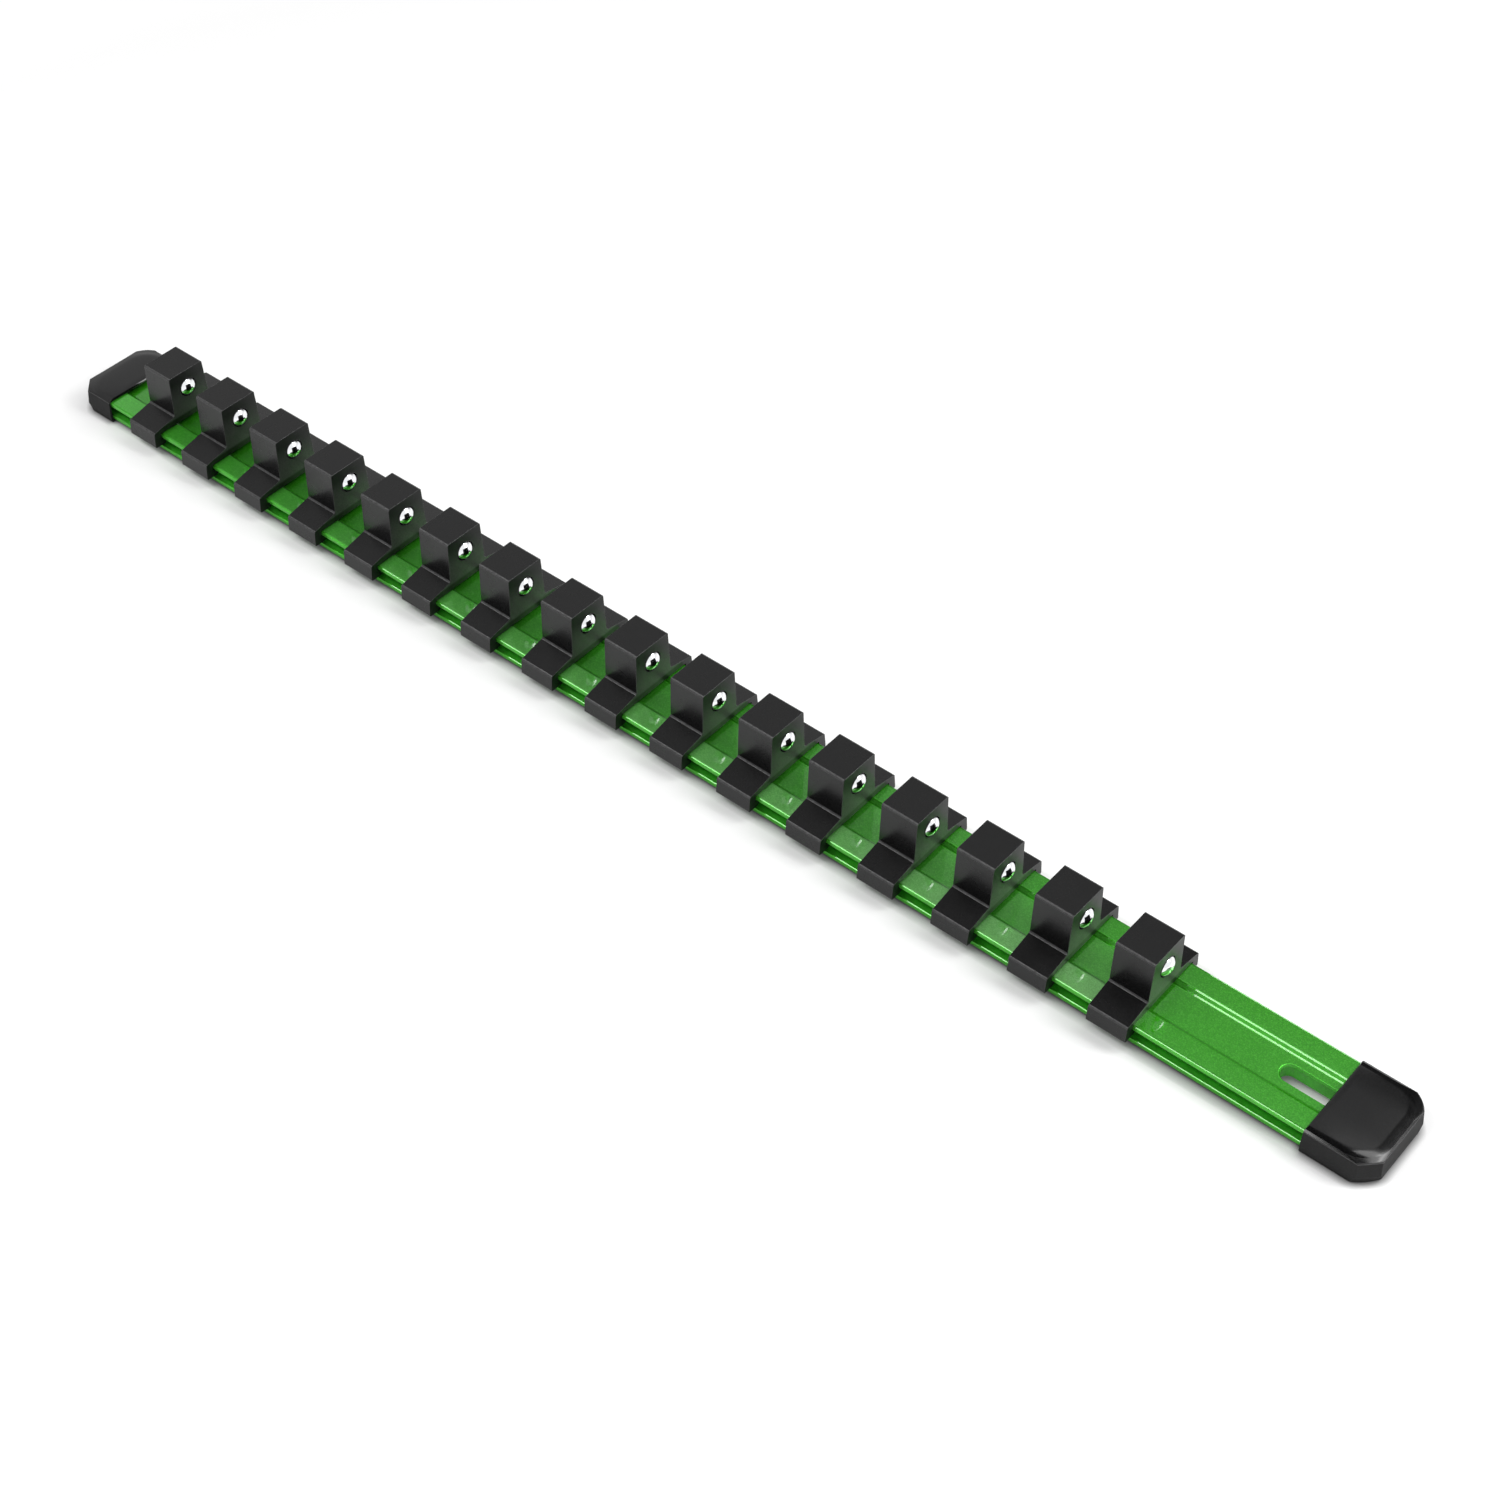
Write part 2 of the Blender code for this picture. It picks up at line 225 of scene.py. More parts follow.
def calculate(tree, how, *values):
    node = addNode(tree, "ShaderNodeMath", operation=how)
    for value, target in zip(values, node.inputs):
        feed(tree, value, target)
    return node.outputs[0]


# Runs from low to high while the given value runs from start to stop
def spreadValue(tree, value, low=0.0, high=1.0, start=0.0, stop=1.0, curve="LINEAR"):
    limits = {"From Min": start, "From Max": stop, "To Min": low, "To Max": high}
    spread = addNode(tree, "ShaderNodeMapRange", interpolation_type=curve, Value=value, **limits)
    return spread.outputs["Result"]


def mixColours(tree, share, first, second):
    mix = addNode(tree, "ShaderNodeMix", data_type="RGBA", Factor=share, A=first, B=second)
    return mix.outputs["Result"]


def bumpFrom(tree, height, strength, depth):
    bump = addNode(tree, "ShaderNodeBump", Strength=strength, Distance=depth * mm, Height=height)
    return bump.outputs["Normal"]


def objectPlace(tree):
    return addNode(tree, "ShaderNodeTexCoord").outputs["Object"]


def splitPlace(tree, place):
    return addNode(tree, "ShaderNodeSeparateXYZ", Vector=place).outputs


# Noise with patches about as wide as size says, in millimetres
def noiseOver(tree, place, size, detail, roughness):
    perMetre = calculate(tree, "DIVIDE", 1 / mm, size)
    noise = addNode(tree, "ShaderNodeTexNoise",
                    Vector=place, Scale=perMetre, Detail=detail, Roughness=roughness)
    return noise.outputs["Fac"]


# An effect that several materials share, its inputs with their first values
def newGroup(name, inputs, outputs):
    group = bpy.data.node_groups.new(name, "ShaderNodeTree")
    for label, value in inputs.items():
        kind = "NodeSocketVector" if isinstance(value, tuple) else "NodeSocketFloat"
        socket = group.interface.new_socket(label, in_out="INPUT", socket_type=kind)
        socket.default_value = value
    for label in outputs:
        group.interface.new_socket(label, in_out="OUTPUT", socket_type="NodeSocketFloat")
    return group, group.nodes.new("NodeGroupInput").outputs, group.nodes.new("NodeGroupOutput").inputs


def placeGroup(tree, group, values):
    node = addNode(tree, "ShaderNodeGroup", node_tree=group)
    for label, value in values.items():
        node.inputs[label].default_value = value
    return node.outputs


def newMaterial(name):
    material = bpy.data.materials.new(name)
    material.use_nodes = True
    tree = material.node_tree
    tree.nodes.clear()
    shader = addNode(tree, "ShaderNodeBsdfPrincipled")
    addNode(tree, "ShaderNodeOutputMaterial", Surface=shader.outputs[0])
    return material, tree, shader


def setSkin(tree, shader, values):
    for label, value in values.items():
        feed(tree, value, shader.inputs[label])


# Each pair is where a noise begins to show and where it shows in full
effects = {
    "tone": (0.36, 0.64), "cloud": (0.32, 0.68), "cellShare": 0.5,
    "marks": (0.55, 0.80), "lineSqueeze": (0.012, 1, 1),
    "patches": (0.30, 0.60), "patchLeast": 0.55,
}


def showFrom(tree, value, bounds, low=0.0):
    start, stop = bounds
    return spreadValue(tree, value, low=low, start=start, stop=stop)


# Fine grain of a moulded or anodised skin: a height, a tone for the colour and slow clouds for the gloss
def grainGroup():
    group, given, out = newGroup(
        "fineGrain", {"Grain Size": 0.25, "Stretch": (1, 1, 1), "Cloud Size": 12.0},
        ("Height", "Tone", "Cloud"))
    place = objectPlace(group)
    stretched = addNode(group, "ShaderNodeVectorMath", operation="MULTIPLY")
    feed(group, place, stretched.inputs[0])
    feed(group, given["Stretch"], stretched.inputs[1])
    spot = stretched.outputs[0]
    fine = noiseOver(group, spot, given["Grain Size"], detail=2.0, roughness=0.6)
    perMetre = calculate(group, "DIVIDE", 1 / mm, given["Grain Size"])
    cells = addNode(group, "ShaderNodeTexVoronoi", feature="F1", Vector=spot, Scale=perMetre)
    cloud = noiseOver(group, place, given["Cloud Size"], detail=3.0, roughness=0.55)
    height = calculate(group, "MULTIPLY_ADD", cells.outputs["Distance"], effects["cellShare"], fine)
    feed(group, height, out["Height"])
    feed(group, showFrom(group, fine, effects["tone"]), out["Tone"])
    feed(group, showFrom(group, cloud, effects["cloud"]), out["Cloud"])
    return group


# The faint lines that the die leaves along an extrusion, and small handling marks
def drawLineGroup():
    group, given, out = newGroup("drawLines", {"Line Width": 0.2, "Mark Size": 3.0}, ("Lines", "Marks"))
    place = objectPlace(group)
    squeezed = addNode(group, "ShaderNodeMapping", Vector=place, Scale=effects["lineSqueeze"])
    lines = noiseOver(group, squeezed.outputs[0], given["Line Width"], detail=3.0, roughness=0.7)
    marks = noiseOver(group, place, given["Mark Size"], detail=4.0, roughness=0.75)
    feed(group, lines, out["Lines"])
    feed(group, showFrom(group, marks, effects["marks"]), out["Marks"])
    return group


# Where rounded edges get a painted highlight, partly also wear: a mask broken up by fine noise
def edgeLightAndWearGroup():
    group, given, out = newGroup("edgeLightAndWear", {"Amount": 0.5, "Patch Size": 1.5}, ("Mask",))
    litAndRubbed = addNode(group, "ShaderNodeAttribute", attribute_name="lightAndWear").outputs["Fac"]
    patches = noiseOver(group, objectPlace(group), given["Patch Size"], detail=3.0, roughness=0.6)
    broken = showFrom(group, patches, effects["patches"], low=effects["patchLeast"])
    litAndWorn = calculate(group, "MULTIPLY", litAndRubbed, broken)
    feed(group, calculate(group, "MULTIPLY", litAndWorn, given["Amount"]), out["Mask"])
    return group


fineGrain = grainGroup()
drawLines = drawLineGroup()
edgeLightAndWear = edgeLightAndWearGroup()

anodised = {
    "dark": (0.019, 0.240, 0.003), "light": (0.038, 0.325, 0.006),
    "spark": (0.12, 0.60, 0.08), "sparkFrom": 0.62, "sparkTo": 0.95, "sparkAmount": 0.22,
    "grain": {"Grain Size": 0.22, "Stretch": (0.7, 1, 1), "Cloud Size": 22.0},
    "lines": {"Line Width": 0.22, "Mark Size": 5.0},
    # The edge colour is a painted highlight, partly also dye worn thin
    "edge": (0.21, 1.00, 0.14), "lightAndWear": {"Amount": 0.85, "Patch Size": 2.0},
    # The scuff colours are a painted lighter sheen, partly also real scuffing
    "sheenScuffFar": (0.10, 0.78, 0.05), "sheenScuffNear": (0.45, 0.82, 0.39), "sheenScuffFrom": -215, "sheenScuffTo": 158.8,
    "sheenScuffMarks": 0.75, "sheenScuffGrain": 0.70,
    # Axis, start and stop in millimetres, and how much of the painted sheen and scuff is left at each
    "sheenScuffBands": [
        ("X", 158.6, 159.2, 0.46, 0.0),
        ("Y", -5.9, -6.3, 0.18, 1.0),
        ("Y", 4.7, 5.0, 1.0, 0.0),
        ("Y", -12.25, -12.05, 0.0, 1.0),
        ("Z", 5.20, 5.60, 0.0, 1.0),
    ],
    "metallic": 0.50, "rough": (0.27, 0.36), "bump": 0.20, "bumpDepth": 0.010,
    "coat": 1.0, "coatRough": 0.05, "coatGoneAt": 0.40,
}


# A painted lighter sheen on the front flange, and less on the recess, along the clips' stretch, partly also
# scuffs where the clips are pushed to and fro: how much, and how near the slot end
def sheenScuffMask(tree, grain, marks):
    parts = splitPlace(tree, objectPlace(tree))
    share = calculate(tree, "MULTIPLY", spreadValue(tree, marks, anodised["sheenScuffMarks"]),
                      spreadValue(tree, grain, anodised["sheenScuffGrain"]))
    for axis, start, stop, low, high in anodised["sheenScuffBands"]:
        band = spreadValue(tree, parts[axis], low, high, start * mm, stop * mm)
        share = calculate(tree, "MULTIPLY", share, band)
    along = spreadValue(tree, parts["X"], start=anodised["sheenScuffFrom"] * mm, stop=anodised["sheenScuffTo"] * mm)
    return share, along


def makeAnodised():
    material, tree, shader = newMaterial("green_anodised_skin")
    grain = placeGroup(tree, fineGrain, anodised["grain"])
    lines = placeGroup(tree, drawLines, anodised["lines"])
    litAndWorn = placeGroup(tree, edgeLightAndWear, anodised["lightAndWear"])["Mask"]
    sparks = spreadValue(tree, grain["Tone"], high=anodised["sparkAmount"],
                         start=anodised["sparkFrom"], stop=anodised["sparkTo"])
    sheenScuffShare, along = sheenScuffMask(tree, grain["Tone"], lines["Marks"])
    colour = mixColours(tree, grain["Tone"], anodised["dark"], anodised["light"])
    colour = mixColours(tree, sparks, colour, anodised["spark"])
    # Painted edge highlight, partly also wear
    colour = mixColours(tree, litAndWorn, colour, anodised["edge"])
    sheenScuffColour = mixColours(tree, along, anodised["sheenScuffFar"], anodised["sheenScuffNear"])
    # Painted lighter sheen along the clips' stretch, partly scuffs
    colour = mixColours(tree, sheenScuffShare, colour, sheenScuffColour)
    setSkin(tree, shader, {
        "Base Color": colour,
        "Roughness": spreadValue(tree, lines["Lines"], *anodised["rough"]),
        "Normal": bumpFrom(tree, grain["Height"], anodised["bump"], anodised["bumpDepth"]),
        "Metallic": anodised["metallic"],
        "Specular IOR Level": 0.0,
        "Coat Weight": spreadValue(tree, litAndWorn, anodised["coat"], 0.0, stop=anodised["coatGoneAt"]),
        "Coat Roughness": anodised["coatRough"],
    })
    return material


plastic = {
    "dark": (0.0020, 0.0020, 0.0021), "light": (0.0066, 0.0066, 0.0068), "cloudSize": 9.0,
    "dust": (0.03, 0.03, 0.03), "dustAmount": 0.10, "lines": {"Line Width": 0.3, "Mark Size": 2.5},
    # The edge colour is a painted highlight on rounded edges, partly also wear
    "edge": (0.100, 0.100, 0.101), "edgePatch": 1.2, "bumpDepth": 0.02,
}
clipPlastic = {
    "rough": (0.22, 0.30), "grain": 0.36, "bump": 0.25, "specular": 0.31, "edgeAmount": 0.58,
    # The grey low on the ball side is a painted sheen, partly also rub
    "litAndRubbed": (0.080, 0.080, 0.079), "sheenRubFrom": 20.5, "sheenRubTo": 9.5, "sheenRubGrain": (0.45, 0.85),
    "postFrom": 8.7, "postBlend": 0.6, "sideFacing": (0.80, 0.98), "sideMatt": 0.16,
}
capPlastic = {
    "rough": (0.10, 0.15), "grain": 0.35, "bump": 0.04, "specular": 0.38, "edgeAmount": 0.90,
    "polishedAbove": 7.06, "polishBlend": 0.1, "wallMatt": 0.62,
}


# The side that carries the ball gets a painted grey sheen low down on the post, partly also rub where the
# sockets slide past it
def sideSheenAndRubMask(tree, grain):
    coordinates = addNode(tree, "ShaderNodeTexCoord").outputs
    height = splitPlace(tree, coordinates["Object"])["Z"]
    postFrom, blend = clipPlastic["postFrom"], clipPlastic["postBlend"]
    side = showFrom(tree, splitPlace(tree, coordinates["Normal"])["X"], clipPlastic["sideFacing"])
    low = spreadValue(tree, height, start=clipPlastic["sheenRubFrom"] * mm, stop=clipPlastic["sheenRubTo"] * mm)
    onPost = spreadValue(tree, height, start=postFrom * mm, stop=(postFrom + blend) * mm)
    mask = calculate(tree, "MULTIPLY", side, low)
    for share in (onPost, spreadValue(tree, grain, *clipPlastic["sheenRubGrain"])):
        mask = calculate(tree, "MULTIPLY", mask, share)
    return mask, side


# The mould is polished above a height and left matt on the walls below it
def wallRoughness(tree):
    edge, blend = capPlastic["polishedAbove"], capPlastic["polishBlend"]
    height = splitPlace(tree, objectPlace(tree))["Z"]
    return spreadValue(tree, height, capPlastic["wallMatt"], 0.0, edge * mm, (edge + blend) * mm)


def makePlastic(name, finish):
    material, tree, shader = newMaterial(name)
    grain = placeGroup(tree, fineGrain, {
        "Grain Size": finish["grain"], "Cloud Size": plastic["cloudSize"]})
    marks = placeGroup(tree, drawLines, plastic["lines"])["Marks"]
    litAndWorn = placeGroup(tree, edgeLightAndWear, {
        "Amount": finish["edgeAmount"], "Patch Size": plastic["edgePatch"]})["Mask"]
    dusty = spreadValue(tree, marks, high=plastic["dustAmount"])
    colour = mixColours(tree, grain["Tone"], plastic["dark"], plastic["light"])
    colour = mixColours(tree, dusty, colour, plastic["dust"])
    # Painted edge highlight, partly also wear
    colour = mixColours(tree, litAndWorn, colour, plastic["edge"])
    gloss = spreadValue(tree, grain["Cloud"], *finish["rough"])
    if finish is clipPlastic:
        share, side = sideSheenAndRubMask(tree, grain["Tone"])
        # Painted grey sheen on the ball side, partly rub
        colour = mixColours(tree, share, colour, clipPlastic["litAndRubbed"])
        gloss = calculate(tree, "ADD", gloss, spreadValue(tree, side, high=clipPlastic["sideMatt"]))
    if finish is capPlastic:
        gloss = calculate(tree, "ADD", gloss, wallRoughness(tree))
    setSkin(tree, shader, {
        "Base Color": colour,
        "Roughness": gloss,
        "Normal": bumpFrom(tree, grain["Height"], finish["bump"], plastic["bumpDepth"]),
        "Specular IOR Level": finish["specular"],
    })
    return material


steel = {
    "grain": {"Grain Size": 0.12, "Cloud Size": 2.0}, "markSize": 1.2, "cloudTone": 0.93,
    "bump": 0.04, "bumpDepth": 0.01,
}
ballSteel = {"tone": (0.90, 0.91, 0.93), "rough": (0.04, 0.10), "lineWidth": 0.3}
wireSteel = {"tone": (0.48, 0.48, 0.50), "rough": (0.22, 0.34), "lineWidth": 0.1}


def makeSteel(name, finish):
    material, tree, shader = newMaterial(name)
    grain = placeGroup(tree, fineGrain, steel["grain"])
    lines = placeGroup(tree, drawLines, {
        "Line Width": finish["lineWidth"], "Mark Size": steel["markSize"]})
    clouded = tuple(value * steel["cloudTone"] for value in finish["tone"])
    setSkin(tree, shader, {
        "Base Color": mixColours(tree, grain["Cloud"], clouded, finish["tone"]),
        "Roughness": spreadValue(tree, lines["Marks"], *finish["rough"]),
        "Normal": bumpFrom(tree, lines["Lines"], steel["bump"], steel["bumpDepth"]),
        "Metallic": 1.0,
    })
    return material


greenSkin = makeAnodised()
clipSkin = makePlastic("black_clip_skin", clipPlastic)
capSkin = makePlastic("black_cap_skin", capPlastic)
ballSkin = makeSteel("polished_ball_skin", ballSteel)
wireSkin = makeSteel("spring_wire_skin", wireSteel)
print("materials made")



# Rail: an extruded aluminium section, with a slot to hang it by

rail = {
    "length": 436.7, "width": 25.0, "bottom": 0.95, "height": 5.95,
    "lip": 1.4, "foot": 1.3, "groove": 2.3, "underRound": 0.14,
    "recessWidth": 12.3, "recessDepth": 1.05, "reliefWidth": 16.5, "reliefDepth": 0.9,
    # Shifts across and up: from the recess's edge at its floor and at the flange, then from the rail's side
    "stepFoot": [(-1.28, 0), (-1.10, 0.025), (-0.76, 0.2375)],
    "stepHead": [(-0.17, -0.2525), (0.17, -0.04), (0.37, 0)],
    "scribedLine": [(-0.50, 0), (-0.36, -0.14)],
    "edgeBreak": [(-0.24, -0.06), (-0.06, -0.17), (0, -0.32)], "footRise": 0.06,
    "slotX": 201.6, "slotLength": 20.0, "slotWidth": 4.9, "slotRound": 0.42, "slotLine": 0.07,
    "slotSlack": 0.01, "slotSide": 3.2, "slotFrom": 185, "cutterDepth": 20, "cutterDrop": 5,
}
# How much painted highlight each part of the section gets, partly also dye rubbed thin at edges
railLightAndRub = {
    "lip": 0.40, "foot": 0.36, "groove": 0.36, "rearStep": 0.30, "stepRound": 0.22,
    "slotRim": 0.55, "slotWall": 0.30,
    # And where each part lies, in millimetres aside of the middle or up
    "slotSide": 3.4, "stepSide": 7, "lipSide": 12.4, "footTop": 5, "slotWallTop": 4, "flangeSkin": 0.02,
    "rearStepSide": (5.4, 6.0), "grooveSide": (10, 12), "grooveHeight": (2, 5.6),
}


def makeRail():
    side = rail["width"] / 2
    low, high = rail["bottom"], rail["bottom"] + rail["height"]
    floorZ = high - rail["recessDepth"]
    stepTop = rail["recessWidth"] / 2

    def shifted(y, z, shifts):
        return [(y + across, z + up) for across, up in shifts]

    # Each step runs from a faint roll, over a flat break, up a plain slope, and out the same way
    step = shifted(stepTop, floorZ, rail["stepFoot"]) + shifted(stepTop, high, rail["stepHead"])
    lipUnder = (side, high - rail["lip"])
    grooveTop = (side - rail["groove"], lipUnder[1])
    grooveFoot = (side - rail["groove"], low + rail["foot"])
    footUnder = (side, low)
    reliefFoot = (rail["reliefWidth"] / 2, low)
    reliefTop = (reliefFoot[0] - rail["reliefDepth"], low + rail["reliefDepth"])
    # The lip has a fine scribed line, then a narrow flat and a steep break down to the side
    lipEdge = shifted(side, high, rail["scribedLine"] + rail["edgeBreak"])
    footEdge = shifted(side, grooveFoot[1] + rail["footRise"], rail["edgeBreak"])
    groove, under = [lipUnder, grooveTop, grooveFoot], [footUnder, reliefFoot, reliefTop]
    half = step + lipEdge + groove + footEdge + under
    piece = drawSection("rail_extrusion", bothSides(half), -rail["length"] / 2)
    for corners in ([lipUnder, footUnder, grooveTop, grooveFoot], [reliefFoot, reliefTop]):
        roundCorners(piece, corners + [(-y, z) for y, z in corners], rail["underRound"], 3)
    pullAlong(rail["length"])
    cutAway(piece, makeSlotCutter(high))
    editing(piece)
    radius = rail["slotWidth"] / 2 + rail["slotSlack"]
    reach = rail["slotLength"] / 2 + rail["slotSlack"]

    def isRim(edge):
        for vert in edge.verts:
            level = abs(vert.co.z - floorZ * mm) < near
            inside = abs(vert.co.y) < radius * mm and abs(vert.co.x - rail["slotX"] * mm) < reach * mm
            if not (level and inside):
                return False
        return len({round(face.normal.z) for face in edge.link_faces}) > 1

    print("slot rim edges:", pickEdges(piece, isRim))
    bpy.ops.mesh.bevel(offset=rail["slotRound"] * mm, segments=1, affect="EDGES")

    # Where the chamfered rim meets the slot's wall or the recess's floor
    def isBreakLine(edge):
        slopes = sorted(round(abs(face.normal.z), 1) for face in edge.link_faces)
        bySlot = all(abs(vert.co.y) < rail["slotSide"] * mm and vert.co.x > rail["slotFrom"] * mm
                     for vert in edge.verts)
        return bySlot and slopes in ([0.0, 0.7], [0.7, 1.0])

    print("slot break lines:", pickEdges(piece, isBreakLine))
    bpy.ops.mesh.bevel(offset=rail["slotLine"] * mm, segments=2, affect="EDGES")
    crisp = step[1:5] + lipEdge + footEdge

    def isOnCrispLine(vert):
        return any(abs(abs(vert.co.y) - y * mm) < near and abs(vert.co.z - z * mm) < near
                   for y, z in crisp)

    def isCrisp(edge):
        return all(isOnCrispLine(vert) for vert in edge.verts)

    smoothOff(piece, railLightAndWear, crispAt=isCrisp)
    fit(piece, greenSkin, "rail_body", "rail")


def isWithin(value, bounds):
    return bounds[0] < value < bounds[1]


# Painted highlights on the rear step only, the lip and foot and the slot's rim, and painted light in the
# shaded groove and slot walls; partly also dye rubbed thin at edges
def railLightAndWear(spot, isRound):
    aside, up, flange = abs(spot.y), spot.z, rail["bottom"] + rail["height"]
    atRear, onLip = spot.y > 0, aside > railLightAndRub["lipSide"]
    if aside < railLightAndRub["slotSide"]:
        if isRound:
            return railLightAndRub["slotRim"]
        return railLightAndRub["slotWall"] if up < railLightAndRub["slotWallTop"] else 0.0
    if isRound:
        if aside < railLightAndRub["stepSide"]:
            return railLightAndRub["stepRound"] if atRear else 0.0
        return railLightAndRub["lip"] if onLip else 0.0
    if onLip:
        return railLightAndRub["lip"] if up > railLightAndRub["footTop"] else railLightAndRub["foot"]
    if isWithin(aside, railLightAndRub["grooveSide"]) and isWithin(up, railLightAndRub["grooveHeight"]):
        return railLightAndRub["groove"]
    onStep = isWithin(aside, railLightAndRub["rearStepSide"]) and up < flange - railLightAndRub["flangeSkin"]
    return railLightAndRub["rearStep"] if onStep and atRear else 0.0


# The slot's milling cutter path: a round bar drawn out lengthwise
def makeSlotCutter(high):
    leaveEditing()
    radius = rail["slotWidth"] / 2
    bpy.ops.mesh.primitive_cylinder_add(vertices=48, radius=radius * mm, depth=rail["cutterDepth"] * mm,
                                        location=(rail["slotX"] * mm, 0, (high - rail["cutterDrop"]) * mm))
    cutter = bpy.context.object
    bpy.ops.object.transform_apply(location=True, rotation=True, scale=True)
    editing(cutter)
    reach = rail["slotLength"] / 2 - radius
    for way in (1, -1):
        pickVerts(cutter, lambda vert: (vert.co.x - rail["slotX"] * mm) * way > near)
        bpy.ops.transform.translate(value=(way * reach * mm, 0, 0))
    leaveEditing()
    return cutter


makeRail()
print("rail made")


# End caps: moulded, pressed on the rail's ends

cap = {
    "half": 13.55, "crownEdge": 7.455, "cornerSteps": 16, "backRound": 0.40,
    "rightLength": 18.6, "rightMouth": 205.2, "leftLength": 14.3, "leftMouth": -209.5,
    "socketSide": 12.75, "socketLow": 0.70, "socketHigh": 7.02, "socketRound": 0.55, "shoulder": 5.2,
    # The last two heights bound a painted highlight line along the walls
    "overrun": 1, "highlightFrom": 7.00, "highlightTo": 7.06,
}
# Each level up a cap: how far in from the sides, from the end and from the mouth, then the size of the
# corners, how round the front corner is, and the height
capLevels = [
    (0.50, 0.50, 0.10, 5.6, 0.45, 0.00),
    (0.30, 0.30, 0.05, 5.4, 0.40, 0.16),
    (0.16, 0.16, 0.02, 5.2, 0.30, 0.50),
    (0.02, 0.02, 0.00, 4.8, 0.15, 2.20),
    (0.05, 0.05, 0.00, 4.1, 0.02, 2.75),
    (0.42, 0.42, 0.00, 4.1, 0.02, 6.98),
    (0.48, 0.48, 0.00, 4.1, 0.02, 7.08),
    (1.16, 1.05, 0.00, 8.1, 1.00, 7.455),
    (1.66, 1.83, 0.10, 7.2, 1.00, 7.61),
    (2.26, 2.66, 0.25, 6.6, 1.00, 7.77),
    (2.75, 3.16, 0.42, 6.2, 1.00, 7.85),
    (3.25, 3.66, 0.60, 5.7, 1.00, 7.895),
    (4.25, 4.60, 0.85, 4.9, 1.00, 7.95),
    (5.70, 6.00, 1.20, 3.9, 1.00, 8.005),
    (7.60, 7.80, 1.60, 3.0, 1.00, 8.04),
    (9.60, 9.80, 2.00, 2.2, 1.00, 8.05),
]


def capLoop(side, mouth, length, inset, endInset, mouthInset, corner, roundness, height):
    half = cap["half"] - inset
    end = length - endInset

    def cornerSpots(bend):
        spots = []
        for step in range(cap["cornerSteps"] + 1):
            share = step / cap["cornerSteps"]
            turn = -pi / 2 + share * pi / 2
            arc = Vector((end - corner + corner * cos(turn), half - corner - corner * sin(turn)))
            cut = Vector((end - corner + corner * share, half - corner * share))
            spots.append(cut.lerp(arc, bend))
        return spots

    front = [(x, -y) for x, y in cornerSpots(roundness)]
    back = [(x, y) for x, y in reversed(cornerSpots(max(roundness, cap["backRound"])))]
    loop = [(mouthInset, -half)] + front + back + [(mouthInset, half)]
    return [((mouth + side * x) * mm, y * mm, height * mm) for x, y in loop]


def makeCap(name, side, mouth, length, node):
    loops = [capLoop(side, mouth, length, *level) for level in capLevels]
    piece = startPiece(name, loops[0][0])
    count = len(loops[0])
    for index, loop in enumerate(loops):
        if index:
            bpy.ops.mesh.select_all(action="DESELECT")
            bpy.ops.mesh.primitive_plane_add(size=1 * mm, location=loop[0])
            bpy.ops.mesh.merge(type="CENTER")
        drawOn(loop)
        bpy.ops.mesh.select_all(action="DESELECT")
        first, last = index * count, (index + 1) * count - 1
        pickVerts(piece, lambda vert: vert.index in (first, last))
        bpy.ops.mesh.edge_face_add()
    for index in range(len(loops) - 1):
        def isOnTwoLevels(edge):
            a, b = (vert.index // count for vert in edge.verts)
            return a == b and a in (index, index + 1)

        pickEdges(piece, isOnTwoLevels)
        bpy.ops.mesh.bridge_edge_loops()
    for index in (0, len(loops) - 1):
        pickVerts(piece, lambda vert: vert.index // count == index)
        bpy.ops.mesh.edge_face_add()
    bpy.ops.mesh.select_all(action="SELECT")
    bpy.ops.mesh.normals_make_consistent(inside=False)
    leaveEditing()
    cutAway(piece, makeSocketCutter(side, mouth, length))

    def isCrownEdge(edge):
        return all(abs(vert.co.z - cap["crownEdge"] * mm) < near for vert in edge.verts)

    smoothOff(piece, capHighlightBand, angle=20, crispAt=isCrownEdge)
    fit(piece, capSkin, "rail_body", node)


# A painted highlight line along the top of the cap's walls, just under the crown
def capHighlightBand(spot, isRound):
    return 1.0 if cap["highlightFrom"] < spot.z < cap["highlightTo"] else 0.0


def makeSocketCutter(side, mouth, length):
    leaveEditing()
    reach = length - cap["shoulder"]
    middle = mouth + side * (reach / 2 - cap["overrun"] / 2)
    low, high = cap["socketLow"], cap["socketHigh"]
    bpy.ops.mesh.primitive_cube_add(size=1, location=(middle * mm, 0, (low + high) / 2 * mm))
    cutter = bpy.context.object
    cutter.scale = ((reach + cap["overrun"]) * mm, cap["socketSide"] * 2 * mm, (high - low) * mm)
    bpy.ops.object.transform_apply(location=True, rotation=True, scale=True)
    editing(cutter)

    def isLongTopEdge(edge):
        a, b = edge.verts
        return abs(a.co.x - b.co.x) > 1 * mm and a.co.z > 2 * mm

    pickEdges(cutter, isLongTopEdge)
    bpy.ops.mesh.bevel(offset=cap["socketRound"] * mm, segments=3, affect="EDGES")
    leaveEditing()
    return cutter


makeCap("right_end_cap", 1, cap["rightMouth"], cap["rightLength"], "end_cap_right")
makeCap("left_end_cap", -1, cap["leftMouth"], cap["leftLength"], "end_cap_left")
print("end caps made")


# Clips: a square post on a saddle that slides along the rail, with a ball that holds the socket

